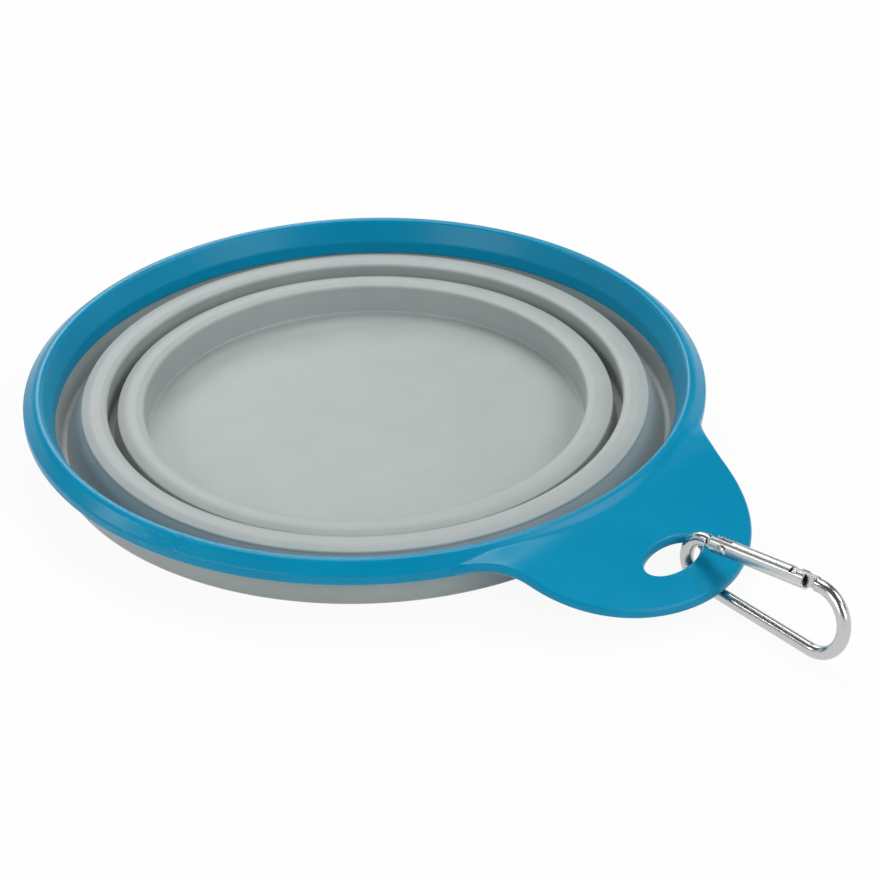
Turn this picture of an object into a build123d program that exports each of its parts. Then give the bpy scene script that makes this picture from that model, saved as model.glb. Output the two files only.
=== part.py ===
from build123d import *
import os
from math import asin, cos, hypot, pi, radians, sin, sqrt, tan

# Collapsible travel bowl, folded flat as it stands on a table: a silicone body in three tiers
# with two thin fold walls between them, a hard rim with a carrying tab, and a small
# spring-gate carabiner through the tab's slot. Sizes are in millimetres and +Z is up.
# The origin is the centre of the base's underside, and +X runs out along the tab.

# ---- Driving dimensions ---------------------------------------------------------------

# Hard rim, outside to inside
rim_radius = 90.0
rim_height = 16.8  # crest above the table, folded
rim_crest_inset = 4.0  # outer face in to the middle of the crest
rim_crest_width = 2.0  # nearly level top, before its corners are rounded
rim_crest_inner_round = 1.4
rim_crest_outer_round = 2.6
rim_shoulder_drop = 2.7  # crest down to the outer face
rim_face_height = 2.8
rim_face_round = 0.9
rim_width = 7.9  # outer face in to the lip
rim_lip_depth = 8.5  # crest down to the lip's lower edge
rim_lip_steep_height = 2.8  # the lip's upright part
rim_lip_lean = 0.3
rim_lip_bend = 3.0
rim_lip_wall = 1.1
rim_lip_round = 0.35
bead_width = 2.1  # silicone bead that the rim is moulded round
bead_height = 1.3
bead_depth = 3.4  # crest down to the bead's top
neck_height = 2.8  # below the bead's top, the wall leans out to it inside the rim
neck_lean = 1.45
rim_fit = 0.05  # rim to silicone, each side

# Carrying tab
tab_reach = 31.4  # rim's outer face to the tab's tip
tab_lobe_radius = 36.6
tab_flare_radius = 33.0
tab_thickness = 2.6
tab_root_drop = 0.9  # crest down to the tab's top where it leaves the rim
tab_root_sink = 2.6  # how far the tab's root reaches into the rim
tab_flare_sink = 0.4  # the flares run this far into the rim's outer face
tab_droop_angle = 21.0  # steepest slope of the tab's top
tab_shoulder_length = 10.0  # along which the level root turns down to the steepest slope
tab_shoulder_run = 3.0  # rim's outer face to the end of that shoulder
tab_edge_round = 0.9
slot_length = 18.3  # oval, across the tab
slot_width = 8.6
slot_margin = 9.7  # slot to the tab's tip

# Silicone body
band_wall = 1.8
band_taper = 2.35  # the upper wall leans in by this much towards its foot
band_foot_round = 2.2
valley_floor = 1.2  # thickness under both valleys
valley_clearance = 0.6  # both valleys' undersides above the table
hinge_rise = 0.4  # the fold walls start this far above the valley floor
fold_wall = 0.9
outer_valley_width = 1.4
outer_fold_lean = 3.75
middle_crest_height = 11.5
middle_shoulder_drop = 0.5
middle_slope_width = 1.5
middle_bevel_width = 7.0  # nearly level, down to the inner edge
middle_bevel_drop = 0.95
middle_wall = 2.0
middle_undercut = 0.9  # the wall's foot is this far behind its inner edge
inner_valley_width = 1.2
inner_fold_lean = 1.2  # more than the fold's wall, so that the tiers pass each other
base_crest_height = 9.2
base_shoulder_drop = 0.6
base_slope_width = 1.0
base_bevel_width = 6.7
base_bevel_drop = 1.5
base_wall = 2.2
base_wall_lean = 3.2
base_floor = 1.9
base_floor_round = 1.8
base_foot_round = 1.0
shoulder_to_fold = 0.8  # shoulder down to where the fold wall starts
shoulder_round = 0.9
crest_round = 0.8
valley_round = 0.9

# Carabiner: a bent wire loop, wider at its far end
wire_radius = 1.7
narrow_bow_radius = 5.65
wide_bow_radius = 8.3
bow_distance = 36.2
carabiner_lean = 10.0  # its gate side leans this far from upright, along the slot
carabiner_yaw = -3.9  # turned from the tab's middle line
carabiner_along_slot = 5.5  # from the slot's middle
carabiner_off_slot = -0.35  # middle of the wire, towards the tip
table_gap = 0.05
tab_to_wire = 0.2  # the tab's tip above the wire that lies on the table

# Gate: a rolled tube with a rivet at one end and a notch for the nose at the other
gate_radius = 2.2
gate_wall = 0.5
gate_setback = 3.2  # end of the narrow bow to the tube
rivet_inset = 4.0
rivet_radius = 0.8
rivet_head_radius = 1.3
rivet_head_height = 0.7
rivet_seat_wall = 0.2  # tube wall left under the rivet's head
rivet_fit = 0.02  # rivet in the tube
hinge_fit = 0.05  # rivet in the wire's tongue
tongue_thickness = 1.5
tongue_height = 2.8
tongue_end = 1.5  # past the rivet
tongue_shoulder = 5.6  # round wire's end to the rivet
tongue_corner_round = 0.15
notch_clearance = 0.2
notch_past_rivet = 2.2
nose_gap = 2.9  # tube's end to the wire's shoulder
nose_straight = 0.7  # straight wire from that shoulder to the wide bow
nose_thickness = 1.3
nose_bottom = 1.2  # below the gate's axis
nose_top = 2.0  # above it
nose_length = 4.1  # from the tube's end into it
nose_head_length = 1.4
nose_head_width = 3.0
nose_head_bottom = 0.2
nose_head_top = 1.5
nose_clearance = 0.3
overlap_into_wire = 0.6  # pressed ends run this far into the round wire
seam_width = 0.35  # where the tube's rolled edges meet
seam_depth = 0.3

# Spring and plunger inside the gate's hinge end
plunger_gap = 0.05  # to the tongue
plunger_radius = 1.5
plunger_head = 1.0
plunger_stem_radius = 0.6
plunger_stem_length = 1.5
spring_wire_radius = 0.2
spring_coil_radius = 1.15
spring_turns = 6
spring_pitch = 1.0
spring_seat_gap = 0.05

# ---- Sizes that follow from them ------------------------------------------------------

# Radii, from the rim inwards
crest_outer = rim_radius - rim_crest_inset + rim_crest_width / 2
crest_inner = crest_outer - rim_crest_width
lip_radius = rim_radius - rim_width
groove_inner = lip_radius + rim_lip_wall
wall_inner = groove_inner + rim_fit
wall_outer = wall_inner + band_wall
groove_outer = wall_outer + rim_fit
bead_outer = wall_outer + bead_width
band_foot_inner = wall_inner - band_taper
outer_fold_bottom = band_foot_inner - outer_valley_width  # outer face, as are the next three
outer_fold_top = outer_fold_bottom - outer_fold_lean
middle_crest = outer_fold_top - middle_slope_width
middle_bevel = middle_crest - middle_bevel_width
middle_foot_inner = middle_bevel + middle_undercut
inner_fold_bottom = middle_foot_inner - inner_valley_width
inner_fold_top = inner_fold_bottom - inner_fold_lean
base_crest = inner_fold_top - base_slope_width
base_bevel = base_crest - base_bevel_width
floor_radius = base_bevel - base_wall_lean

# Heights
valley_top = valley_clearance + valley_floor
fold_bottom_height = valley_top + hinge_rise
middle_shoulder_height = middle_crest_height - middle_shoulder_drop
base_shoulder_height = base_crest_height - base_shoulder_drop
outer_fold_top_height = middle_shoulder_height - shoulder_to_fold
inner_fold_top_height = base_shoulder_height - shoulder_to_fold
rim_face_top = rim_height - rim_shoulder_drop
rim_face_bottom = rim_face_top - rim_face_height
lip_bottom = rim_height - rim_lip_depth
bead_top = rim_height - bead_depth
bead_bottom = bead_top - bead_height
neck_bottom = bead_top - neck_height

# Unfolding turns each fold wall over, so a tier rises by twice its fold wall's height
lower_travel = 2 * (inner_fold_top_height - fold_bottom_height)
upper_travel = 2 * (outer_fold_top_height - fold_bottom_height)
print(f"lower fold rises {lower_travel:.2f} mm, upper fold {upper_travel:.2f} mm")
print(f"height folded {rim_height:.1f} mm, open {rim_height + lower_travel + upper_travel:.1f} mm")


def rounded_outline(corners):
    """Closed outline: each corner is its radius from the axis, its height and its rounding."""
    FilletPolyline(
        *[(radius, height) for radius, height, _ in corners],
        radius=[rounding for _, _, rounding in corners],
        close=True,
    )


# ---- Silicone body, innermost tier first ----------------------------------------------

with BuildPart() as base_cup:
    with BuildSketch(Plane.XZ):
        with BuildLine():
            rounded_outline(
                [
                    (0, 0, 0),
                    (floor_radius + base_wall / 2, 0, base_foot_round),
                    (base_bevel + base_wall, inner_fold_top_height - base_bevel_drop, shoulder_round),
                    (inner_fold_top - fold_wall, inner_fold_top_height, 0),
                    (inner_fold_top, inner_fold_top_height, 0),
                    (inner_fold_top, base_shoulder_height, shoulder_round),
                    (base_crest, base_crest_height, crest_round),
                    (base_bevel, base_crest_height - base_bevel_drop, crest_round),
                    (floor_radius, base_floor, base_floor_round),
                    (0, base_floor, 0),
                ]
            )
        make_face()
    revolve(axis=Axis.Z)

with BuildPart() as inner_fold:
    with BuildSketch(Plane.XZ):
        with BuildLine():
            rounded_outline(
                [
                    (inner_fold_bottom - fold_wall, fold_bottom_height, 0),
                    (inner_fold_bottom, fold_bottom_height, 0),
                    (inner_fold_top, inner_fold_top_height, 0),
                    (inner_fold_top - fold_wall, inner_fold_top_height, 0),
                ]
            )
        make_face()
    revolve(axis=Axis.Z)

with BuildPart() as middle_band:
    with BuildSketch(Plane.XZ):
        with BuildLine():
            rounded_outline(
                [
                    (inner_fold_bottom - fold_wall, fold_bottom_height, 0),
                    (inner_fold_bottom - fold_wall, valley_clearance, valley_floor / 2),
                    (middle_foot_inner + middle_wall, valley_clearance, valley_round),
                    (
                        middle_bevel + middle_wall,
                        outer_fold_top_height - middle_bevel_drop,
                        shoulder_round,
                    ),
                    (outer_fold_top - fold_wall, outer_fold_top_height, 0),
                    (outer_fold_top, outer_fold_top_height, 0),
                    (outer_fold_top, middle_shoulder_height, shoulder_round),
                    (middle_crest, middle_crest_height, crest_round),
                    (middle_bevel, middle_crest_height - middle_bevel_drop, crest_round),
                    (middle_foot_inner, valley_top, valley_round / 2),
                    (inner_fold_bottom, valley_top, hinge_rise / 2),
                    (inner_fold_bottom, fold_bottom_height, 0),
                ]
            )
        make_face()
    revolve(axis=Axis.Z)

with BuildPart() as outer_fold:
    with BuildSketch(Plane.XZ):
        with BuildLine():
            rounded_outline(
                [
                    (outer_fold_bottom - fold_wall, fold_bottom_height, 0),
                    (outer_fold_bottom, fold_bottom_height, 0),
                    (outer_fold_top, outer_fold_top_height, 0),
                    (outer_fold_top - fold_wall, outer_fold_top_height, 0),
                ]
            )
        make_face()
    revolve(axis=Axis.Z)

with BuildPart() as upper_band:
    with BuildSketch(Plane.XZ):
        with BuildLine():
            rounded_outline(
                [
                    (outer_fold_bottom - fold_wall, fold_bottom_height, 0),
                    (outer_fold_bottom - fold_wall, valley_clearance, valley_floor / 2),
                    (band_foot_inner + band_foot_round, valley_clearance, band_foot_round),
                    (wall_outer, lip_bottom, 0),
                    (wall_outer, bead_bottom, 0),
                    (bead_outer, bead_bottom, 0),
                    (bead_outer, bead_top, 0),
                    (wall_inner + neck_lean, bead_top, 0),
                    (wall_inner, neck_bottom, 0),
                    (wall_inner, lip_bottom, 0),
                    (band_foot_inner, valley_top, valley_round),
                    (outer_fold_bottom, valley_top, hinge_rise / 2),
                    (outer_fold_bottom, fold_bottom_height, 0),
                ]
            )
        make_face()
    revolve(axis=Axis.Z)

# ---- Rim and tab ----------------------------------------------------------------------

# The tab's outline: a round lobe, with a flare on each side that meets the rim and the lobe
tab_tip = rim_radius + tab_reach
lobe_centre = tab_tip - tab_lobe_radius
flare_contact = rim_radius - tab_flare_sink
flare_to_axis = flare_contact + tab_flare_radius
flare_to_lobe = tab_lobe_radius + tab_flare_radius
flare_x = (flare_to_axis**2 - flare_to_lobe**2 + lobe_centre**2) / (2 * lobe_centre)
flare_y = (flare_to_axis**2 - flare_x**2) ** 0.5
flare_centre = Vector(flare_x, flare_y)
flare_at_rim = flare_centre * (flare_contact / flare_to_axis)
flare_at_lobe = flare_centre + (Vector(lobe_centre, 0) - flare_centre) * (
    tab_flare_radius / flare_to_lobe
)
flare_chord_middle = (flare_at_rim + flare_at_lobe) / 2
flare_middle = flare_centre + (flare_chord_middle - flare_centre).normalized() * tab_flare_radius
tab_root = rim_radius - tab_root_sink
root_corner = flare_at_rim * (tab_root / flare_contact)

# The tab's top: level at the root, down over a shoulder, then hollowing out to the tip, which
# clears the wire that lies on the table under it
tab_tip_height = table_gap + 2 * wire_radius + tab_to_wire + tab_thickness
tab_root_height = rim_height - tab_root_drop
tab_tip_drop = tab_root_height - tab_tip_height
droop = radians(tab_droop_angle)
shoulder_end = rim_radius + tab_shoulder_run
shoulder_start = shoulder_end - tab_shoulder_length
shoulder_drop = tab_shoulder_length * tan(droop / 2)
past_tip = tab_tip + tab_thickness
slot_centre = tab_tip - slot_margin - slot_width / 2


def mirrored(point):
    """The same point on the other side of the tab's middle line."""
    return Vector(point.X, -point.Y)


def tab_surface(height):
    """Side view of one face of the tab, whose root is at this height."""
    Line((0, height), (shoulder_start, height))
    TangentArc(
        (shoulder_start, height),
        (shoulder_end, height - shoulder_drop),
        tangent=(1, 0),
    )
    TangentArc(
        (shoulder_end, height - shoulder_drop),
        (tab_tip, height - tab_tip_drop),
        tangent=(cos(droop), -sin(droop)),
    )
    Line((tab_tip, height - tab_tip_drop), (past_tip, height - tab_tip_drop))


def is_tab_side(face):
    """True for the tab's upright faces outside the rim, the slot's included."""
    centre = face.center()
    return abs(face.normal_at().Z) < 0.01 and hypot(centre.X, centre.Y) > rim_radius


with BuildPart() as rim_ring:
    with BuildSketch():
        with BuildLine():
            ThreePointArc(root_corner, (tab_root, 0), mirrored(root_corner))
            Line(mirrored(root_corner), mirrored(flare_at_rim))
            ThreePointArc(
                mirrored(flare_at_rim), mirrored(flare_middle), mirrored(flare_at_lobe)
            )
            ThreePointArc(mirrored(flare_at_lobe), (tab_tip, 0), flare_at_lobe)
            ThreePointArc(flare_at_lobe, flare_middle, flare_at_rim)
            Line(flare_at_rim, root_corner)
        make_face()
        with Locations((slot_centre, 0)):
            Ellipse(slot_width / 2, slot_length / 2, mode=Mode.SUBTRACT)
    extrude(amount=rim_height)
    with BuildSketch(Plane.XZ):
        with BuildLine():
            tab_surface(tab_root_height)
            tab_surface(tab_root_height - tab_thickness)
            Line((0, tab_root_height), (0, tab_root_height - tab_thickness))
            Line((past_tip, tab_tip_height), (past_tip, tab_tip_height - tab_thickness))
        make_face()
    extrude(amount=rim_radius, both=True, mode=Mode.INTERSECT)
    outline_edges = rim_ring.faces().filter_by(is_tab_side).edges().filter_by(Axis.Z, reverse=True)
    fillet(outline_edges, tab_edge_round)
    with BuildSketch(Plane.XZ):
        with BuildLine():
            rounded_outline(
                [
                    (lip_radius, lip_bottom, rim_lip_round),
                    (lip_radius + rim_lip_lean, lip_bottom + rim_lip_steep_height, rim_lip_bend),
                    (crest_inner, rim_height, rim_crest_inner_round),
                    (crest_outer, rim_height, rim_crest_outer_round),
                    (rim_radius, rim_face_top, rim_face_round),
                    (rim_radius, rim_face_bottom, rim_face_round),
                    (groove_outer, rim_face_bottom, 0),
                    (groove_outer, bead_bottom - rim_fit, 0),
                    (bead_outer + rim_fit, bead_bottom - rim_fit, 0),
                    (bead_outer + rim_fit, bead_top + rim_fit, 0),
                    (groove_inner + neck_lean, bead_top + rim_fit, 0),
                    (groove_inner, neck_bottom + rim_fit, 0),
                    (groove_inner, lip_bottom, rim_lip_round),
                ]
            )
        make_face()
    revolve(axis=Axis.Z)

# ---- Carabiner's loop -----------------------------------------------------------------

# The loop stands on the table, leaning towards its gate, and its narrow bow goes up through
# the slot. It rises towards the wide bow, because both bows touch the table.
lean = radians(carabiner_lean)
yaw = radians(carabiner_yaw)
bow_difference = wide_bow_radius - narrow_bow_radius
pitch = asin(
    bow_difference * cos(lean) / sqrt(bow_distance**2 - (bow_difference * sin(lean)) ** 2)
)
upright_share = sqrt(1 - (cos(pitch) * sin(lean)) ** 2)
bow_centre = Vector(
    slot_centre + carabiner_off_slot + narrow_bow_radius * cos(pitch),
    carabiner_along_slot,
    table_gap + wire_radius + narrow_bow_radius * upright_share,
)
long_axis = Vector(cos(pitch) * cos(yaw), cos(pitch) * sin(yaw), sin(pitch))
sideways = Vector(0, 0, 1).cross(long_axis).normalized()
upwards = long_axis.cross(sideways)
gatewards = upwards * cos(lean) + sideways * sin(lean)
loop_plane = Plane(origin=bow_centre, x_dir=long_axis, z_dir=long_axis.cross(gatewards))


def on_loop(along, across):
    """Point of the loop's plane, from the middle of the narrow bow; the gate's side is positive."""
    return loop_plane.from_local_coords((along, across))


# Route of the wire, from the hinge round to the nose
flare_sine = bow_difference / bow_distance
flare_cosine = sqrt(1 - flare_sine**2)
near_setback = -narrow_bow_radius * flare_sine
near_side = narrow_bow_radius * flare_cosine
far_setback = bow_distance - wide_bow_radius * flare_sine
far_side = wide_bow_radius * flare_cosine
gate_near = on_loop(near_setback, near_side)
gate_far = on_loop(far_setback, far_side)
spine_near = on_loop(near_setback, -near_side)
spine_far = on_loop(far_setback, -far_side)
gate_direction = (gate_far - gate_near).normalized()
gate_length = (gate_far - gate_near).length - gate_setback - nose_gap - nose_straight
rivet_place = gate_near + gate_direction * (gate_setback + rivet_inset)
hinge_shoulder = rivet_place - gate_direction * tongue_shoulder
nose_shoulder = gate_far - gate_direction * nose_straight

# The gate's own plane: origin on the rivet's axis, x along the gate, y outwards
gate_plane = Plane(origin=rivet_place, x_dir=gate_direction, z_dir=loop_plane.z_dir)
gate_start = -rivet_inset
gate_end = gate_start + gate_length
nose_tip = gate_end - nose_length
head_back = nose_tip + nose_head_length

with BuildPart() as carabiner_body:
    with BuildLine():
        Line(hinge_shoulder, gate_near)
        ThreePointArc(gate_near, on_loop(-narrow_bow_radius, 0), spine_near)
        Line(spine_near, spine_far)
        ThreePointArc(spine_far, on_loop(bow_distance + wide_bow_radius, 0), gate_far)
        Line(gate_far, nose_shoulder)
    with BuildSketch(Plane(origin=hinge_shoulder, z_dir=-gate_direction)):
        Circle(wire_radius)
    sweep()
    # Wire pressed flat to a tongue that the gate turns on
    with BuildSketch(gate_plane):
        with Locations((tongue_end, 0)):
            Rectangle(
                tongue_end + tongue_shoulder + overlap_into_wire,
                tongue_height,
                align=(Align.MAX, Align.CENTER),
            )
    extrude(amount=tongue_thickness / 2, both=True)
    fillet(
        carabiner_body.edges()
        .filter_by(lambda edge: abs((edge % 0.5).dot(gate_plane.z_dir)) > 0.99)
        .sort_by_distance(gate_plane.from_local_coords((tongue_end, 0)))[:2],
        tongue_corner_round,
    )
    with BuildSketch(gate_plane):
        Circle(rivet_radius + hinge_fit)
    extrude(amount=tongue_thickness, both=True, mode=Mode.SUBTRACT)
    # Wire pressed the other way to the nose, with a head that locks in the gate's notch
    with BuildSketch(gate_plane):
        with Locations((nose_tip, -nose_bottom)):
            Rectangle(
                nose_length + nose_gap + overlap_into_wire,
                nose_bottom + nose_top,
                align=Align.MIN,
            )
    extrude(amount=nose_thickness / 2, both=True)
    with BuildSketch(gate_plane):
        with Locations((nose_tip, nose_head_bottom)):
            Rectangle(nose_head_length, nose_head_top - nose_head_bottom, align=Align.MIN)
    extrude(amount=nose_head_width / 2, both=True)

# ---- Gate -----------------------------------------------------------------------------

gate_section = Plane(
    origin=gate_plane.from_local_coords((gate_start, 0)),
    x_dir=gate_plane.y_dir,
    z_dir=gate_plane.x_dir,
)
bore_radius = gate_radius - gate_wall
plunger_start = tongue_end + plunger_gap
spring_start = plunger_start + plunger_head + spring_seat_gap + spring_wire_radius
spring_length = spring_turns * spring_pitch
chamber_end = spring_start + spring_length + spring_wire_radius + spring_seat_gap
notch_half_width = tongue_thickness / 2 + notch_clearance
rivet_seat = bore_radius + rivet_seat_wall

with BuildPart() as gate_sleeve:
    with BuildSketch(gate_section):
        Circle(gate_radius)
    extrude(amount=gate_length)
    # Chamber for the plunger and the spring, closed by a web, and the nose's bore beyond it
    with BuildSketch(gate_section):
        Circle(bore_radius)
    extrude(amount=chamber_end - gate_start, mode=Mode.SUBTRACT)
    with BuildSketch(gate_section.offset(chamber_end - gate_start + gate_wall)):
        Circle(bore_radius)
    extrude(amount=gate_length, mode=Mode.SUBTRACT)
    # Notch through both sides of the hinge end, in which the tongue swings
    with BuildSketch(gate_plane):
        with Locations((gate_start - gate_wall, 0)):
            Rectangle(
                notch_past_rivet - gate_start + gate_wall,
                3 * gate_radius,
                align=(Align.MIN, Align.CENTER),
            )
    extrude(amount=notch_half_width, both=True, mode=Mode.SUBTRACT)
    # Flat seats for the rivet's heads, and its hole
    for side in (1, -1):
        with BuildSketch(gate_plane.offset(side * rivet_seat)):
            Circle(rivet_head_radius + notch_clearance)
        extrude(amount=side * gate_radius, mode=Mode.SUBTRACT)
    with BuildSketch(gate_plane):
        Circle(rivet_radius + rivet_fit)
    extrude(amount=gate_radius, both=True, mode=Mode.SUBTRACT)
    # T-shaped notch on the outer side, where the nose leaves as the gate swings in
    with BuildSketch(gate_plane):
        with Locations((nose_tip - nose_clearance, nose_head_bottom - nose_clearance)):
            Rectangle(nose_head_length + 2 * nose_clearance, 2 * gate_radius, align=Align.MIN)
    extrude(amount=nose_head_width / 2 + nose_clearance, both=True, mode=Mode.SUBTRACT)
    with BuildSketch(gate_plane):
        with Locations((nose_tip, 0)):
            Rectangle(2 * nose_length, 2 * gate_radius, align=Align.MIN)
    extrude(amount=nose_thickness / 2 + nose_clearance, both=True, mode=Mode.SUBTRACT)
    # Line where the rolled tube's edges meet
    with BuildSketch(gate_plane):
        with Locations((notch_past_rivet, gate_radius - seam_depth)):
            Rectangle(nose_tip - notch_past_rivet, gate_radius, align=Align.MIN)
    extrude(amount=seam_width / 2, both=True, mode=Mode.SUBTRACT)

# Rivet, headed at both ends; its hole through the tongue is the gate's bearing
with BuildPart() as gate_rivet:
    with BuildSketch(Plane(gate_plane.origin, x_dir=gate_plane.x_dir, z_dir=gate_plane.y_dir)):
        with BuildLine() as half_rivet:
            Line((0, 0), (rivet_radius, 0))
            Line((rivet_radius, 0), (rivet_radius, rivet_seat))
            Line((rivet_radius, rivet_seat), (rivet_head_radius, rivet_seat))
            TangentArc(
                (0, rivet_seat + rivet_head_height),
                (rivet_head_radius, rivet_seat),
                tangent=(1, 0),
            )
            Line((0, rivet_seat + rivet_head_height), (0, 0))
        make_face()
    revolve(axis=Axis(gate_plane.origin, gate_plane.z_dir))
    mirror(about=gate_plane)

# Plunger, pushed back along the tube by the tongue's square end as the gate turns
with BuildPart() as spring_plunger:
    with BuildSketch(gate_section.offset(plunger_start - gate_start)):
        Circle(plunger_radius)
    extrude(amount=plunger_head)
    with BuildSketch(gate_section.offset(plunger_start - gate_start)):
        Circle(plunger_stem_radius)
    extrude(amount=plunger_head + plunger_stem_length)

# Spring: each half turn of its helix is two arcs that meet without a corner
spring_plane = gate_section.offset(spring_start - gate_start)


def spring_point(half_turns):
    """Point on the middle of the spring's wire, after this many half turns."""
    turn = pi * half_turns
    return spring_plane.from_local_coords(
        (
            spring_coil_radius * cos(turn),
            spring_coil_radius * sin(turn),
            half_turns * spring_pitch / 2,
        )
    )


def spring_direction(half_turns):
    """Direction of the wire there."""
    turn = pi * half_turns
    around = spring_plane.y_dir * cos(turn) - spring_plane.x_dir * sin(turn)
    rise = spring_pitch / (2 * pi * spring_coil_radius)
    return (around + spring_plane.z_dir * rise).normalized()


with BuildPart() as gate_spring:
    with BuildLine():
        for half_turn in range(2 * spring_turns):
            start = spring_point(half_turn)
            end = spring_point(half_turn + 1)
            start_direction = spring_direction(half_turn)
            end_direction = spring_direction(half_turn + 1)
            chord = end - start
            spread = 2 * (1 - start_direction.dot(end_direction))
            pull = chord.dot(start_direction + end_direction)
            reach = (sqrt(pull**2 + spread * chord.dot(chord)) - pull) / spread
            first_corner = start + start_direction * reach
            second_corner = end - end_direction * reach
            meeting = (first_corner + second_corner) / 2
            TangentArc(start, meeting, tangent=start_direction)
            TangentArc(meeting, end, tangent=second_corner - first_corner)
    with BuildSketch(Plane(origin=spring_point(0), z_dir=spring_direction(0))):
        Circle(spring_wire_radius)
    sweep()
print(f"spring's gap to itself {spring_pitch - 2 * spring_wire_radius:.2f} mm")

# ---- Export ---------------------------------------------------------------------------

os.makedirs("parts", exist_ok=True)
base_cup.part.label = "base_cup"
export_step(base_cup.part, "parts/base_cup.step")
inner_fold.part.label = "inner_fold"
export_step(inner_fold.part, "parts/inner_fold.step")
middle_band.part.label = "middle_band"
export_step(middle_band.part, "parts/middle_band.step")
outer_fold.part.label = "outer_fold"
export_step(outer_fold.part, "parts/outer_fold.step")
upper_band.part.label = "upper_band"
export_step(upper_band.part, "parts/upper_band.step")
rim_ring.part.label = "rim_ring"
export_step(rim_ring.part, "parts/rim_ring.step")
carabiner_body.part.label = "carabiner_body"
export_step(carabiner_body.part, "parts/carabiner_body.step")
gate_sleeve.part.label = "gate_sleeve"
export_step(gate_sleeve.part, "parts/gate_sleeve.step")
gate_rivet.part.label = "gate_rivet"
export_step(gate_rivet.part, "parts/gate_rivet.step")
spring_plunger.part.label = "spring_plunger"
export_step(spring_plunger.part, "parts/spring_plunger.step")
gate_spring.part.label = "gate_spring"
export_step(gate_spring.part, "parts/gate_spring.step")

print(f"gate length {gate_length:.2f} mm, slot centre {slot_centre:.2f} mm from the axis")
print(f"carabiner turns about {tuple(bow_centre)} along {tuple(loop_plane.z_dir)}")
print(f"gate turns about {tuple(gate_plane.origin)} along {tuple(gate_plane.z_dir)}")
print(f"plunger slides along {tuple(gate_plane.x_dir)}")
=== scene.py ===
from math import atan2, ceil, cos, hypot, pi, radians, sin, sqrt, tan

import bmesh
import bpy
from mathutils import Matrix, Vector


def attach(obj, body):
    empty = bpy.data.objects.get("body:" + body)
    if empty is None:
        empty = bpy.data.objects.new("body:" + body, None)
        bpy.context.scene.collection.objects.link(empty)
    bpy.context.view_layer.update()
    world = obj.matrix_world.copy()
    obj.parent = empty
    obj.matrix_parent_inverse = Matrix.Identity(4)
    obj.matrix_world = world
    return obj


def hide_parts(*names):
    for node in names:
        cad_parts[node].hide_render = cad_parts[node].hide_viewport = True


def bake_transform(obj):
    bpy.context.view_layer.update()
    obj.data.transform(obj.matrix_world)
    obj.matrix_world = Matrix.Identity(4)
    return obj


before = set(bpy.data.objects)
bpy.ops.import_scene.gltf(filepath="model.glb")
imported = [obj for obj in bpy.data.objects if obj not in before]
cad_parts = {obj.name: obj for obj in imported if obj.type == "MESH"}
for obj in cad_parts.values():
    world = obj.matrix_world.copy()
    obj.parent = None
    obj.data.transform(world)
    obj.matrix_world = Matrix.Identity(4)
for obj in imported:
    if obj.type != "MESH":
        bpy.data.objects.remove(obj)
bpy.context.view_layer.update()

# A silicone travel bowl, folded flat on a table: three soft tiers joined by two thin fold
# walls, a hard blue rim with a carrying tab, and a small plated carabiner in the tab's slot.

MM = 0.001
scene = bpy.context.scene

# ---- Sizes in millimetres -------------------------------------------------------------

# They are the solids' own, but for the two crests, the floor and the rim's lip. Those are set
# closer to the real bowl.

# Rim
rim_radius = 90.0
rim_height = 16.8
crest_outer = 87.0
crest_inner = 85.0
crest_outer_round = 2.6
crest_inner_round = 1.4
rim_face_top = 14.1
rim_face_bottom = 11.3
rim_face_round = 0.9
lip_radius = 82.1
lip_bottom = 7.5
lip_steep_height = 3.6
lip_lean = 0.3
lip_bend = 3.0
lip_round = 0.35
groove_inner = 83.2
groove_outer = 85.1
rim_fit = 0.05

# Carrying tab
tab_tip = 121.4
tab_lobe_radius = 36.6
tab_flare_radius = 33.0
tab_thickness = 2.6
tab_root_height = 15.9
tab_tip_height = 6.25
tab_droop = radians(21)
tab_shoulder_start = 83.0
tab_shoulder_end = 93.0
tab_edge_round = 0.9
slot_centre = 107.4
slot_length = 18.3
slot_width = 8.6

# Silicone body
wall_inner = 83.25
wall_outer = 85.05
bead_outer = 87.15
bead_top = 13.4
bead_bottom = 12.1
neck_bottom = 10.6
neck_lean = 1.45
band_foot_inner = 80.9
band_foot_round = 2.2
valley_clearance = 0.6
valley_top = 1.8
fold_wall = 0.9
fold_bottom_height = 2.2
outer_fold_bottom = 79.5
outer_fold_top = 75.2
outer_fold_top_height = 10.2
middle_shoulder_height = 10.9
middle_crest_height = 11.5
middle_crest = 72.8
middle_edge = 70.2
middle_bevel = 68.3
middle_bevel_drop = 0.5
middle_foot_inner = 69.0
middle_wall = 2.0
inner_fold_bottom = 66.95
inner_fold_top = 65.75
inner_fold_top_height = 7.8
base_shoulder_height = 8.9
base_crest_height = 9.9
base_crest = 63.4
base_edge = 60.9
base_bevel = 58.7
base_bevel_drop = 0.5
base_wall = 2.2
floor_radius = 58.5
base_floor = 1.2
base_floor_round = 0.6
base_foot_round = 1.0
shoulder_round = 0.5
crest_round = 5.0
edge_round = 2.5
bevel_round = 0.8
valley_round = 0.9
hinge_round = 0.2

# ---- Materials ------------------------------------------------------------------------


def colour(code):
    """Linear colour of an sRGB hex value."""
    parts = [int(code[i : i + 2], 16) / 255 for i in (0, 2, 4)]
    linear = [c / 12.92 if c <= 0.04045 else ((c + 0.055) / 1.055) ** 2.4 for c in parts]
    return (*linear, 1)


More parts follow.
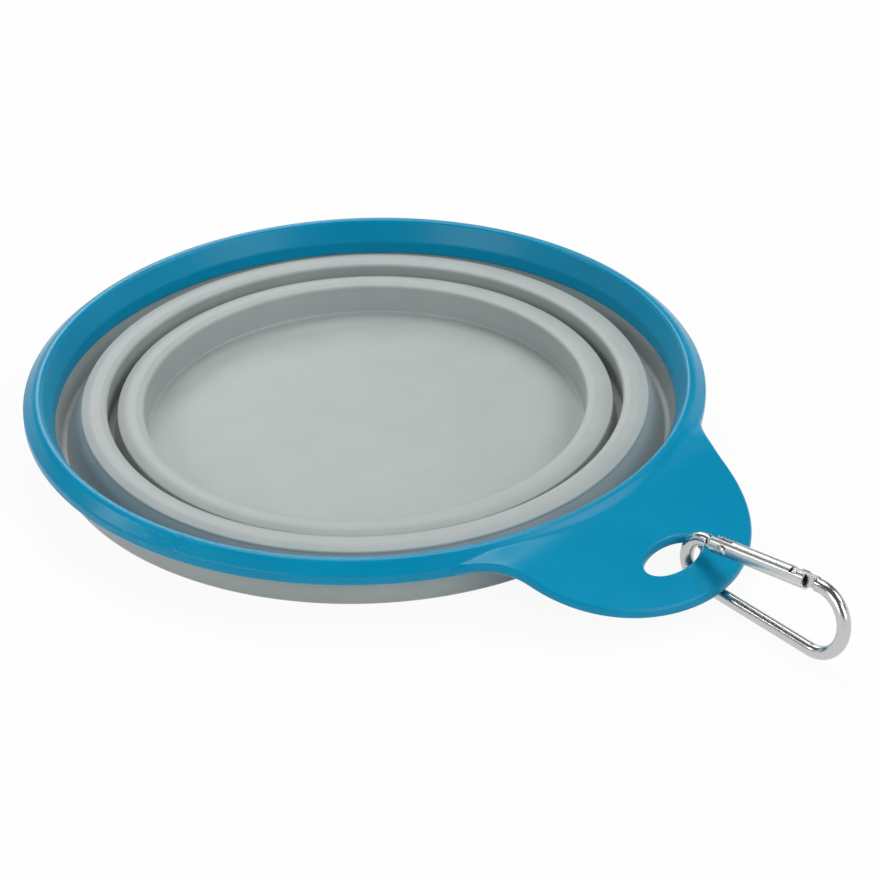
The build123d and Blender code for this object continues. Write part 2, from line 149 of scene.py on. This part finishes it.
def add_node(material, kind, settings=None, numbered=None, **named):
    """Add a node. Its inputs, by number or name, are values or outputs of other nodes."""
    tree = material.node_tree
    node = tree.nodes.new(kind)
    for name, value in (settings or {}).items():
        setattr(node, name, value)
    inputs = dict(numbered or {})
    inputs.update({name.replace("_", " "): value for name, value in named.items()})
    for key, value in inputs.items():
        if isinstance(value, bpy.types.NodeSocket):
            tree.links.new(value, node.inputs[key])
        else:
            node.inputs[key].default_value = value
    return node


# The Mix node's inputs for colours, by number: share, first colour, second colour
SHARE, FIRST, SECOND = 0, 6, 7
MIXED = 2  # its output for colours


def new_material(name):
    """An empty material, and object coordinates in metres for its patterns."""
    material = bpy.data.materials.new(name)
    material.use_nodes = True
    material.node_tree.nodes.clear()
    return material, add_node(material, "ShaderNodeTexCoord").outputs["Object"]


def moulded_silicone():
    """Silicone rubber from a blasted mould: a matt, even light grey with soft satin crests."""
    cloud_size = 16 * MM
    # The blasted mould's grain is about 0.05 mm, too fine to show, and drawn at 0.35 mm
    grain_size = 0.35 * MM
    material, place = new_material("moulded_silicone")
    clouds = add_node(
        material,
        "ShaderNodeTexNoise",
        Vector=place,
        Scale=1 / cloud_size,
        Detail=4.0,
        Roughness=0.55,
    ).outputs["Fac"]
    grain = add_node(
        material,
        "ShaderNodeTexNoise",
        Vector=place,
        Scale=1 / grain_size,
        Detail=3.0,
        Roughness=0.6,
    ).outputs["Fac"]
    shade = add_node(
        material, "ShaderNodeMapRange", Value=clouds, From_Min=0.35, From_Max=0.65
    ).outputs["Result"]
    grey = add_node(
        material,
        "ShaderNodeMix",
        {"data_type": "RGBA"},
        {SHARE: shade, FIRST: colour("AAB2B1"), SECOND: colour("B0B7B6")},
    ).outputs[MIXED]
    satin = add_node(material, "ShaderNodeMapRange", Value=clouds, To_Min=0.4, To_Max=0.5)
    relief = add_node(
        material, "ShaderNodeBump", Height=grain, Strength=0.25, Distance=0.02 * MM
    )
    surface = add_node(
        material,
        "ShaderNodeBsdfPrincipled",
        Base_Color=grey,
        Roughness=satin.outputs["Result"],
        IOR=1.41,
        Normal=relief.outputs["Normal"],
        Sheen_Weight=0.08,
        Sheen_Roughness=0.4,
    )
    add_node(material, "ShaderNodeOutputMaterial", Surface=surface.outputs["BSDF"])
    return material


def moulded_rim_plastic():
    """Injection-moulded polypropylene: saturated blue with broad soft highlights, faint flow
    marks, and one patch of pale scratches where the rim has rubbed on something."""
    flow_size = 22 * MM
    # The mould's grain and the scratches are under 0.1 mm, and drawn coarser so that they show
    grain_size = 0.6 * MM
    scratch_length, scratch_width = 14 * MM, 0.4 * MM
    scratch_turn = radians(-6)
    scuff_place = Vector((15.6, -88.6, 13.0)) * MM  # on the rim's outer side, at the front
    scuff_reach = 19 * MM
    material, place = new_material("moulded_rim_plastic")
    flow = add_node(
        material,
        "ShaderNodeTexNoise",
        Vector=place,
        Scale=1 / flow_size,
        Detail=3.0,
        Roughness=0.5,
    ).outputs["Fac"]
    grain = add_node(
        material,
        "ShaderNodeTexNoise",
        Vector=place,
        Scale=1 / grain_size,
        Detail=2.0,
        Roughness=0.5,
    ).outputs["Fac"]
    shade = add_node(
        material, "ShaderNodeMapRange", Value=flow, From_Min=0.35, From_Max=0.65
    ).outputs["Result"]
    blue = add_node(
        material,
        "ShaderNodeMix",
        {"data_type": "RGBA"},
        {SHARE: shade, FIRST: colour("008EB8"), SECOND: colour("0094BE")},
    ).outputs[MIXED]
    satin = add_node(material, "ShaderNodeMapRange", Value=flow, To_Min=0.2, To_Max=0.3)
    along = add_node(
        material,
        "ShaderNodeMapping",
        Vector=place,
        Rotation=(0, 0, scratch_turn),
        Scale=(1 / scratch_length, 1 / scratch_width, 1 / scratch_width),
    )
    lines = add_node(
        material, "ShaderNodeTexNoise", Vector=along.outputs["Vector"], Scale=1.0, Detail=2.0
    )
    deep = add_node(
        material, "ShaderNodeMapRange", Value=lines.outputs["Fac"], From_Min=0.55, From_Max=0.7
    )
    away = add_node(
        material, "ShaderNodeVectorMath", {"operation": "DISTANCE"}, {0: place, 1: scuff_place}
    )
    near = add_node(
        material,
        "ShaderNodeMapRange",
        Value=away.outputs["Value"],
        From_Min=scuff_reach,
        From_Max=scuff_reach / 2,
    )
    scuff = add_node(
        material,
        "ShaderNodeMath",
        {"operation": "MULTIPLY"},
        {0: deep.outputs["Result"], 1: near.outputs["Result"]},
    )
    worn = add_node(
        material,
        "ShaderNodeMix",
        {"data_type": "RGBA"},
        {SHARE: scuff.outputs[0], FIRST: blue, SECOND: colour("36A0C6")},
    )
    relief = add_node(
        material, "ShaderNodeBump", Height=grain, Strength=0.05, Distance=0.01 * MM
    )
    surface = add_node(
        material,
        "ShaderNodeBsdfPrincipled",
        Base_Color=worn.outputs[MIXED],
        Roughness=satin.outputs["Result"],
        IOR=1.5,
        Normal=relief.outputs["Normal"],
        Specular_IOR_Level=0.2,
    )
    add_node(material, "ShaderNodeOutputMaterial", Surface=surface.outputs["BSDF"])
    return material


def nickel_plate(name, shine_low, shine_high, tint):
    """Nickel plate over steel: bright, neutral metal whose polish varies a little with wear."""
    wear_size = 3 * MM
    material, place = new_material(name)
    wear = add_node(
        material,
        "ShaderNodeTexNoise",
        Vector=place,
        Scale=1 / wear_size,
        Detail=4.0,
        Roughness=0.6,
    ).outputs["Fac"]
    shine = add_node(
        material, "ShaderNodeMapRange", Value=wear, To_Min=shine_low, To_Max=shine_high
    )
    relief = add_node(
        material, "ShaderNodeBump", Height=wear, Strength=0.05, Distance=0.02 * MM
    )
    surface = add_node(
        material,
        "ShaderNodeBsdfPrincipled",
        Base_Color=colour(tint),
        Metallic=1.0,
        Roughness=shine.outputs["Result"],
        Normal=relief.outputs["Normal"],
    )
    add_node(material, "ShaderNodeOutputMaterial", Surface=surface.outputs["BSDF"])
    return material


silicone = moulded_silicone()
rim_plastic = moulded_rim_plastic()
# Drawn wire, barrel polished: crisp dark and light streaks along its length
plated_wire = nickel_plate("polished_nickel_wire", 0.16, 0.26, "C2C4C4")
# Rolled sheet under the same plate: lighter, with wider and softer streaks
plated_sheet = nickel_plate("nickel_rolled_sheet", 0.26, 0.38, "D0D1D0")
# Spring wire and a turned pin, seen only through the gate's slots: even, with a satin shine
spring_steel = nickel_plate("bright_spring_steel", 0.25, 0.35, "BEBEBC")

# ---- Turned shapes --------------------------------------------------------------------

around = 720  # sides of each revolved piece
corner_steps = 8  # faces on each rounding
fold_rings = 8  # steps up a fold wall, between its two tiers
guard = 0.12  # an extra ring this far from each rounding keeps the flat beside it flat
sharp_angle = radians(35)
same_point = 0.0001 * MM


def arc_between(start, end, share):
    """Point part of the way along the short arc between two radii of one circle."""
    angle = start.angle(end)
    return (start * sin((1 - share) * angle) + end * sin(share * angle)) / sin(angle)


def rounded(corners):
    """Outline with round corners, from (radius, height, rounding) in millimetres."""
    spots = [Vector(corner[:2]) for corner in corners]
    before = [(spots[i - 1] - spot).normalized() for i, spot in enumerate(spots)]
    halves = [before[i].angle(-before[(i + 1) % len(spots)]) / 2 for i in range(len(spots))]
    reaches = [corner[2] / tan(half) for corner, half in zip(corners, halves)]
    free = [
        (spots[i - 1] - spot).length - reaches[i - 1] - reaches[i] for i, spot in enumerate(spots)
    ]
    points = []
    for i, (spot, half, reach) in enumerate(zip(spots, halves, reaches)):
        after = (i + 1) % len(spots)
        if reach == 0:
            points.append(spot)
            continue
        first, last = spot + before[i] * reach, spot - before[after] * reach
        centre = spot + (before[i] - before[after]).normalized() * corners[i][2] / sin(half)
        points.append(first + before[i] * min(guard, free[i] / 3))
        for step in range(corner_steps + 1):
            share = step / corner_steps
            points.append(centre + arc_between(first - centre, last - centre, share))
        points.append(last - before[after] * min(guard, free[after] / 3))
    return points


def new_piece(name, vertices, faces, material):
    """A smooth mesh from points in millimetres, with true edges kept sharp."""
    mesh = bpy.data.meshes.new(name)
    mesh.from_pydata([Vector(v) * MM for v in vertices], [], faces)
    skin = bmesh.new()
    skin.from_mesh(mesh)
    bmesh.ops.remove_doubles(skin, verts=skin.verts, dist=same_point)
    bmesh.ops.recalc_face_normals(skin, faces=skin.faces)
    skin.to_mesh(mesh)
    skin.free()
    mesh.materials.append(material)
    mesh.shade_smooth()
    mesh.set_sharp_from_angle(angle=sharp_angle)
    piece = bpy.data.objects.new(name, mesh)
    scene.collection.objects.link(piece)
    return piece


def grid_faces(rows, columns, closed=True):
    """Faces of a grid that closes on itself, or whose columns are open at both ends."""
    faces = []
    for row in range(rows):
        this, following = row * columns, (row + 1) % rows * columns
        for i in range(columns if closed else columns - 1):
            j = (i + 1) % columns
            faces.append((this + i, following + i, following + j, this + j))
    return faces


def turned_points(outline, sides):
    """An outline's points, set round the bowl's axis."""
    angles = [2 * pi * side / sides for side in range(sides)]
    return [(p.x * cos(angle), p.x * sin(angle), p.y) for angle in angles for p in outline]


def turned(name, outline, material, closed=True):
    """Turn an outline about the bowl's axis."""
    faces = grid_faces(around, len(outline), closed)
    return new_piece(name, turned_points(outline, around), faces, material)


# ---- Silicone body --------------------------------------------------------------------

base_outline = rounded(
    [
        (0, 0, 0),
        (floor_radius + base_wall / 2, 0, base_foot_round),
        (base_bevel + base_wall, inner_fold_top_height - base_bevel_drop, shoulder_round),
        (inner_fold_top - fold_wall, inner_fold_top_height, 0),
        (inner_fold_top, inner_fold_top_height, 0),
        (inner_fold_top, base_shoulder_height, shoulder_round),
        (base_crest, base_crest_height, crest_round),
        (base_edge, base_crest_height, edge_round),
        (base_bevel, base_crest_height - base_bevel_drop, bevel_round),
        (floor_radius, base_floor, base_floor_round),
        (0, base_floor, 0),
    ]
)
base_skin = turned("base_skin", base_outline, silicone, closed=False)
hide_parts("base_cup")
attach(base_skin, "base")


def fold_outline(bottom, top, top_height):
    """A fold wall's section: straight, from its lower to its upper hinge."""
    outer = [Vector((bottom, fold_bottom_height)), Vector((top, top_height))]
    inner = [point - Vector((fold_wall, 0)) for point in outer]
    shares = [step / fold_rings for step in range(fold_rings + 1)]
    up = [outer[0].lerp(outer[1], share) for share in shares]
    down = [inner[1].lerp(inner[0], share) for share in shares]
    return up + down


inner_fold_skin = turned(
    "inner_fold_skin",
    fold_outline(inner_fold_bottom, inner_fold_top, inner_fold_top_height),
    silicone,
)
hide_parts("inner_fold")
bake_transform(inner_fold_skin)

middle_outline = rounded(
    [
        (inner_fold_bottom - fold_wall, fold_bottom_height, 0),
        (inner_fold_bottom - fold_wall, valley_clearance, valley_clearance),
        (middle_foot_inner + middle_wall, valley_clearance, valley_round),
        (middle_bevel + middle_wall, outer_fold_top_height - middle_bevel_drop, shoulder_round),
        (outer_fold_top - fold_wall, outer_fold_top_height, 0),
        (outer_fold_top, outer_fold_top_height, 0),
        (outer_fold_top, middle_shoulder_height, shoulder_round),
        (middle_crest, middle_crest_height, crest_round),
        (middle_edge, middle_crest_height, edge_round),
        (middle_bevel, middle_crest_height - middle_bevel_drop, bevel_round),
        (middle_foot_inner, valley_top, valley_round / 2),
        (inner_fold_bottom, valley_top, hinge_round),
        (inner_fold_bottom, fold_bottom_height, 0),
    ]
)
middle_skin = turned("middle_skin", middle_outline, silicone)
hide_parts("middle_band")
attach(middle_skin, "middle")

outer_fold_skin = turned(
    "outer_fold_skin",
    fold_outline(outer_fold_bottom, outer_fold_top, outer_fold_top_height),
    silicone,
)
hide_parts("outer_fold")
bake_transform(outer_fold_skin)

upper_outline = rounded(
    [
        (outer_fold_bottom - fold_wall, fold_bottom_height, 0),
        (outer_fold_bottom - fold_wall, valley_clearance, valley_clearance),
        (band_foot_inner + band_foot_round, valley_clearance, band_foot_round),
        (wall_outer, lip_bottom, 0),
        (wall_outer, bead_bottom, 0),
        (bead_outer, bead_bottom, 0),
        (bead_outer, bead_top, 0),
        (wall_inner + neck_lean, bead_top, 0),
        (wall_inner, neck_bottom, 0),
        (wall_inner, lip_bottom, 0),
        (band_foot_inner, valley_top, valley_round),
        (outer_fold_bottom, valley_top, hinge_round),
        (outer_fold_bottom, fold_bottom_height, 0),
    ]
)
upper_skin = turned("upper_skin", upper_outline, silicone)
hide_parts("upper_band")
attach(upper_skin, "rim")

# ---- Rim with its tab -----------------------------------------------------------------

rim_outline = rounded(
    [
        (lip_radius, lip_bottom, lip_round),
        (lip_radius + lip_lean, lip_bottom + lip_steep_height, lip_bend),
        (crest_inner, rim_height, crest_inner_round),
        (crest_outer, rim_height, crest_outer_round),
        (rim_radius, rim_face_top, rim_face_round),
        (rim_radius, rim_face_bottom, rim_face_round),
        (groove_outer, rim_face_bottom, 0),
        (groove_outer, bead_bottom - rim_fit, 0),
        (bead_outer + rim_fit, bead_bottom - rim_fit, 0),
        (bead_outer + rim_fit, bead_top + rim_fit, 0),
        (groove_inner + neck_lean, bead_top + rim_fit, 0),
        (groove_inner, neck_bottom + rim_fit, 0),
        (groove_inner, lip_bottom, lip_round),
    ]
)
rim_skin = turned("rim_skin", rim_outline, rim_plastic)

# The tab is a ring of loops round its slot. Its top runs smoothly out of the rim's crest, and
# sinks into the rim's slope at the two ends of its flares.
tab_root = 86.5  # where the tab starts, inside the rim
flare_contact = rim_radius - 0.4
lobe_centre = tab_tip - tab_lobe_radius
flare_to_axis = flare_contact + tab_flare_radius
flare_to_lobe = tab_lobe_radius + tab_flare_radius
flare_x = (flare_to_axis**2 - flare_to_lobe**2 + lobe_centre**2) / (2 * lobe_centre)
flare_y = sqrt(flare_to_axis**2 - flare_x**2)
flare_angle = atan2(flare_y, flare_x)
outline_step = 0.6  # longest step along the tab's outline
crest_slope = (rim_height - rim_face_top) / (rim_radius - crest_outer)
root_blend = 0.9  # height over which the rim's crest runs into the tab
root_clearance = 0.02  # the tab's top starts this far under the rim's
groove_cover = 13.8  # lowest underside over the rim's groove
groove_cover_end = 88.4
flare_fade = radians(11)  # over this angle the ends of the flares sink into the rim
flare_sink = 1.9

# Along its middle line the tab bends down over a round shoulder, and then runs out in a long
# hollow curve to its tip.
shoulder_radius = (tab_shoulder_end - tab_shoulder_start) / sin(tab_droop)
shoulder_height = tab_root_height - shoulder_radius * (1 - cos(tab_droop))
tip_chord = Vector((tab_tip - tab_shoulder_end, tab_tip_height - shoulder_height))
hollow_radius = tip_chord.length / (2 * sin(tab_droop - atan2(-tip_chord.y, tip_chord.x)))
hollow_centre = (
    tab_shoulder_end + hollow_radius * sin(tab_droop),
    shoulder_height + hollow_radius * cos(tab_droop),
)


def rim_top(radius):
    """Height of the rim's crest and outer slope, which goes on past the rim's face."""
    return min(rim_height, rim_height - (radius - crest_outer) * crest_slope)


def tab_side(x):
    """Height of the tab's top along its middle line."""
    if x < tab_shoulder_start:
        return tab_root_height
    if x < tab_shoulder_end:
        run = x - tab_shoulder_start
        return tab_root_height - shoulder_radius + sqrt(shoulder_radius**2 - run**2)
    run = min(x, tab_tip) - hollow_centre[0]
    return hollow_centre[1] - sqrt(hollow_radius**2 - run**2)


def sunk(x, y):
    """How far the tab has sunk into the rim's slope near the ends of its flares."""
    share = (abs(atan2(y, x)) - flare_angle + flare_fade) / flare_fade
    share = min(max(share, 0), 1)
    return flare_sink * share * share * (3 - 2 * share)


def tab_top(x, y):
    """Height of the tab's top."""
    tab = tab_side(x) - sunk(x, y)
    rim = rim_top(hypot(x, y)) - root_clearance
    near = max(root_blend - abs(tab - rim), 0) / root_blend
    return max(tab, rim) + near * near * root_blend / 4


def tab_bottom(x, y):
    """Height of the tab's underside, which stays over the rim's groove."""
    height = tab_side(x) - sunk(x, y) - tab_thickness
    return max(height, groove_cover) if hypot(x, y) < groove_cover_end else height


def arc_points(centre, radius, start, end):
    """Points along an arc, without its last."""
    steps = ceil(radius * abs(end - start) / outline_step)
    return [
        Vector(centre) + radius * Vector((cos(a), sin(a)))
        for a in (start + (end - start) * step / steps for step in range(steps))
    ]


def line_points(start, end):
    """Points along a line, without its last."""
    steps = ceil((end - start).length / outline_step)
    return [start.lerp(end, step / steps) for step in range(steps)]


def on_rim(radius, angle):
    """Point on a circle about the bowl's axis."""
    return Vector((radius * cos(angle), radius * sin(angle)))


lobe_to_flare = atan2(flare_y, flare_x - lobe_centre)
tab_outline = (
    arc_points((lobe_centre, 0), tab_lobe_radius, -lobe_to_flare, lobe_to_flare)
    + arc_points(
        (flare_x, flare_y), tab_flare_radius, lobe_to_flare - pi, flare_angle - pi
    )
    + line_points(on_rim(flare_contact, flare_angle), on_rim(tab_root, flare_angle))
    + arc_points((0, 0), tab_root, flare_angle, -flare_angle)
    + line_points(on_rim(tab_root, -flare_angle), on_rim(flare_contact, -flare_angle))
    + arc_points(
        (flare_x, -flare_y), tab_flare_radius, pi - flare_angle, pi - lobe_to_flare
    )
)
slot_outline = []
for point in tab_outline:
    bearing = atan2(point.y, point.x - slot_centre)
    size = hypot(cos(bearing) / (slot_width / 2), sin(bearing) / (slot_length / 2))
    slot_outline.append(Vector((slot_centre + cos(bearing) / size, sin(bearing) / size)))


def inward(outline, i):
    """Direction at right angles to an anticlockwise outline, towards its inside."""
    along = (outline[(i + 1) % len(outline)] - outline[i - 1]).normalized()
    return Vector((-along.y, along.x))


tab_rows = 28  # faces from the slot's edge to the outline
edge_steps = 7
edge_angles = [pi / 2 * step / edge_steps for step in range(edge_steps + 1)]


def tab_loop(i):
    """Section of the tab from the slot to the outline and back under it, at one bearing."""
    outside, inside = inward(tab_outline, i), -inward(slot_outline, i)
    outer = [tab_outline[i] + outside * tab_edge_round * (1 - sin(a)) for a in edge_angles]
    inner = [slot_outline[i] + inside * tab_edge_round * (1 - sin(a)) for a in edge_angles]
    drops = [tab_edge_round * (1 - cos(a)) for a in edge_angles]
    across = [inner[0].lerp(outer[0], row / tab_rows) for row in range(1, tab_rows)]
    points = [(p.x, p.y, tab_top(p.x, p.y)) for p in across]
    points += [(p.x, p.y, tab_top(p.x, p.y) - drop) for p, drop in zip(outer, drops)]
    points += [
        (p.x, p.y, tab_bottom(p.x, p.y) + drop) for p, drop in zip(outer[::-1], drops[::-1])
    ]
    points += [(p.x, p.y, tab_bottom(p.x, p.y)) for p in across[::-1]]
    points += [(p.x, p.y, tab_bottom(p.x, p.y) + drop) for p, drop in zip(inner, drops)]
    points += [
        (p.x, p.y, tab_top(p.x, p.y) - drop) for p, drop in zip(inner[::-1], drops[::-1])
    ]
    return points


tab_loops = [tab_loop(i) for i in range(len(tab_outline))]
tab_skin = new_piece(
    "tab_skin",
    [point for loop in tab_loops for point in loop],
    grid_faces(len(tab_loops), len(tab_loops[0])),
    rim_plastic,
)


def joined(piece, other):
    """Make two closed meshes one, with no faces left inside."""
    union = piece.modifiers.new("union", "BOOLEAN")
    union.operation = "UNION"
    union.solver = "MANIFOLD"
    union.object = other
    seen = bpy.context.evaluated_depsgraph_get()
    mesh = bpy.data.meshes.new_from_object(piece.evaluated_get(seen))
    piece.modifiers.remove(union)
    piece.data = mesh
    bpy.data.objects.remove(other)
    mesh.shade_smooth()
    mesh.set_sharp_from_angle(angle=sharp_angle)


joined(rim_skin, tab_skin)
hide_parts("rim_ring")
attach(rim_skin, "rim")

# ---- Carabiner ------------------------------------------------------------------------

finishes = {
    "gate_sleeve": plated_sheet,
    "gate_rivet": plated_wire,
    "spring_plunger": spring_steel,
}
for node, finish in finishes.items():
    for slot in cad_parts[node].material_slots:
        slot.material = finish


def solid_copy(name, node, finish):
    """A copy of a node's solid, to be worked further and shown in its place."""
    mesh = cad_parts[node].data.copy()
    for i in range(len(mesh.materials)):
        mesh.materials[i] = finish
    piece = bpy.data.objects.new(name, mesh)
    scene.collection.objects.link(piece)
    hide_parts(node)
    return piece


# The bent wire's facets are evened out, so that its polish shows smooth reflections
facet = 0.18
wire_skin = solid_copy("carabiner_skin", "carabiner_body", plated_wire)
even = wire_skin.modifiers.new("even", "REMESH")
even.mode = "VOXEL"
even.voxel_size = facet * MM
even.use_smooth_shade = True
soft = wire_skin.modifiers.new("soft", "SMOOTH")
soft.factor = 0.5
soft.iterations = 10
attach(wire_skin, "carabiner")

# A copy of the spring, shown in its place. The spring shortens between its stop in the tube and
# the plunger, which the tongue pushes in
spring_skin = solid_copy("gate_spring_skin", "gate_spring", spring_steel)
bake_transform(spring_skin)

# ---- Table and backdrop, light and camera ---------------------------------------------

# White studio sweep: a level table that turns up into a low wall all round. The camera, and
# reflections, see it mostly as plain white; the small rest is lit, and shows the bowl's shadow.
plain_white = 0.93
sweep_white, _ = new_material("white_sweep")
matt = add_node(sweep_white, "ShaderNodeBsdfDiffuse", Color=colour("F4F4F2"), Roughness=0.0)
bright = add_node(sweep_white, "ShaderNodeEmission", Color=colour("FFFFFF"), Strength=1.0)
ray = add_node(sweep_white, "ShaderNodeLightPath").outputs
seen = add_node(
    sweep_white,
    "ShaderNodeMath",
    {"operation": "ADD"},
    {0: ray["Is Camera Ray"], 1: ray["Is Glossy Ray"]},
)
seen = add_node(
    sweep_white,
    "ShaderNodeMath",
    {"operation": "ADD", "use_clamp": True},
    {0: seen.outputs[0], 1: ray["Is Transmission Ray"]},
)
share = add_node(
    sweep_white, "ShaderNodeMath", {"operation": "MULTIPLY"}, {0: seen.outputs[0], 1: plain_white}
)
mix = add_node(
    sweep_white,
    "ShaderNodeMixShader",
    numbered={0: share.outputs[0], 1: matt.outputs[0], 2: bright.outputs[0]},
)
add_node(sweep_white, "ShaderNodeOutputMaterial", Surface=mix.outputs[0])

table_reach = 3.0  # metres, as all of the studio
bend = 0.5
bend_steps = 12
wall_top = 1.2
sweep_sides = 96
section = [Vector((0.001, 0)), Vector((table_reach / 2, 0)), Vector((table_reach, 0))]
for step in range(1, bend_steps + 1):
    angle = pi / 2 * step / bend_steps
    section.append(Vector((table_reach + bend * sin(angle), bend * (1 - cos(angle)))))
section.append(Vector((table_reach + bend, wall_top)))
mesh = bpy.data.meshes.new("white_sweep")
mesh.from_pydata(
    turned_points(section, sweep_sides), [], grid_faces(sweep_sides, len(section), closed=False)
)
mesh.shade_smooth()
mesh.materials.append(sweep_white)
sweep = bpy.data.objects.new("white_sweep", mesh)
scene.collection.objects.link(sweep)

# Square softboxes on a circle round the bowl: name, bearing from the tab's side and elevation in
# degrees, width in metres, watts, tint
lamp_distance = 1.3
softboxes = [
    ("lamp_behind", 137.6, 60, 0.6, 5.5, "FFFEFB"),
    ("lamp_back_low", 147.6, 30, 0.45, 3.1, "FFFEFB"),
    ("lamp_right", 47.6, 50, 0.6, 4.2, "FBFDFF"),
    ("lamp_front_right", 2.6, 32, 0.7, 4.6, "FFFFFF"),
    ("lamp_front_left", 272.6, 30, 0.7, 4.3, "FFFFFF"),
    ("lamp_left", 221, 37, 0.2, 1.5, "FFFFFF"),
]
for name, bearing, elevation, width, power, tint in softboxes:
    light = bpy.data.lights.new(name, "AREA")
    light.shape = "SQUARE"
    light.size = width
    light.energy = power
    light.color = colour(tint)[:3]
    lamp = bpy.data.objects.new(name, light)
    level = lamp_distance * cos(radians(elevation))
    lamp.location = (
        level * cos(radians(bearing)),
        level * sin(radians(bearing)),
        lamp_distance * sin(radians(elevation)),
    )
    lamp.rotation_euler = (-lamp.location).to_track_quat("-Z", "Y").to_euler()
    scene.collection.objects.link(lamp)

room_light = 0.12
world = bpy.data.worlds.new("studio")
world.use_nodes = True
background = world.node_tree.nodes["Background"]
background.inputs["Color"].default_value = colour("F2F4F6")
background.inputs["Strength"].default_value = room_light
scene.world = world
scene.view_settings.view_transform = "Standard"

# Camera where the photograph was taken from: place, and heading, tilt and roll in degrees
camera_place = Vector((435.5, -397.6, 371.2)) * MM
camera_heading = 45.703
camera_tilt = 32.584
camera_roll = -1.198
focal_pixels, picture_pixels = 2600, 880  # focal length and the picture's width

view = bpy.data.cameras.new("camera")
view.sensor_width = 36
view.lens = view.sensor_width * focal_pixels / picture_pixels
camera = bpy.data.objects.new("camera", view)
camera.matrix_world = (
    Matrix.Translation(camera_place)
    @ Matrix.Rotation(radians(camera_heading), 4, "Z")
    @ Matrix.Rotation(radians(90 - camera_tilt), 4, "X")
    @ Matrix.Rotation(radians(camera_roll), 4, "Z")
)
scene.collection.objects.link(camera)
scene.camera = camera
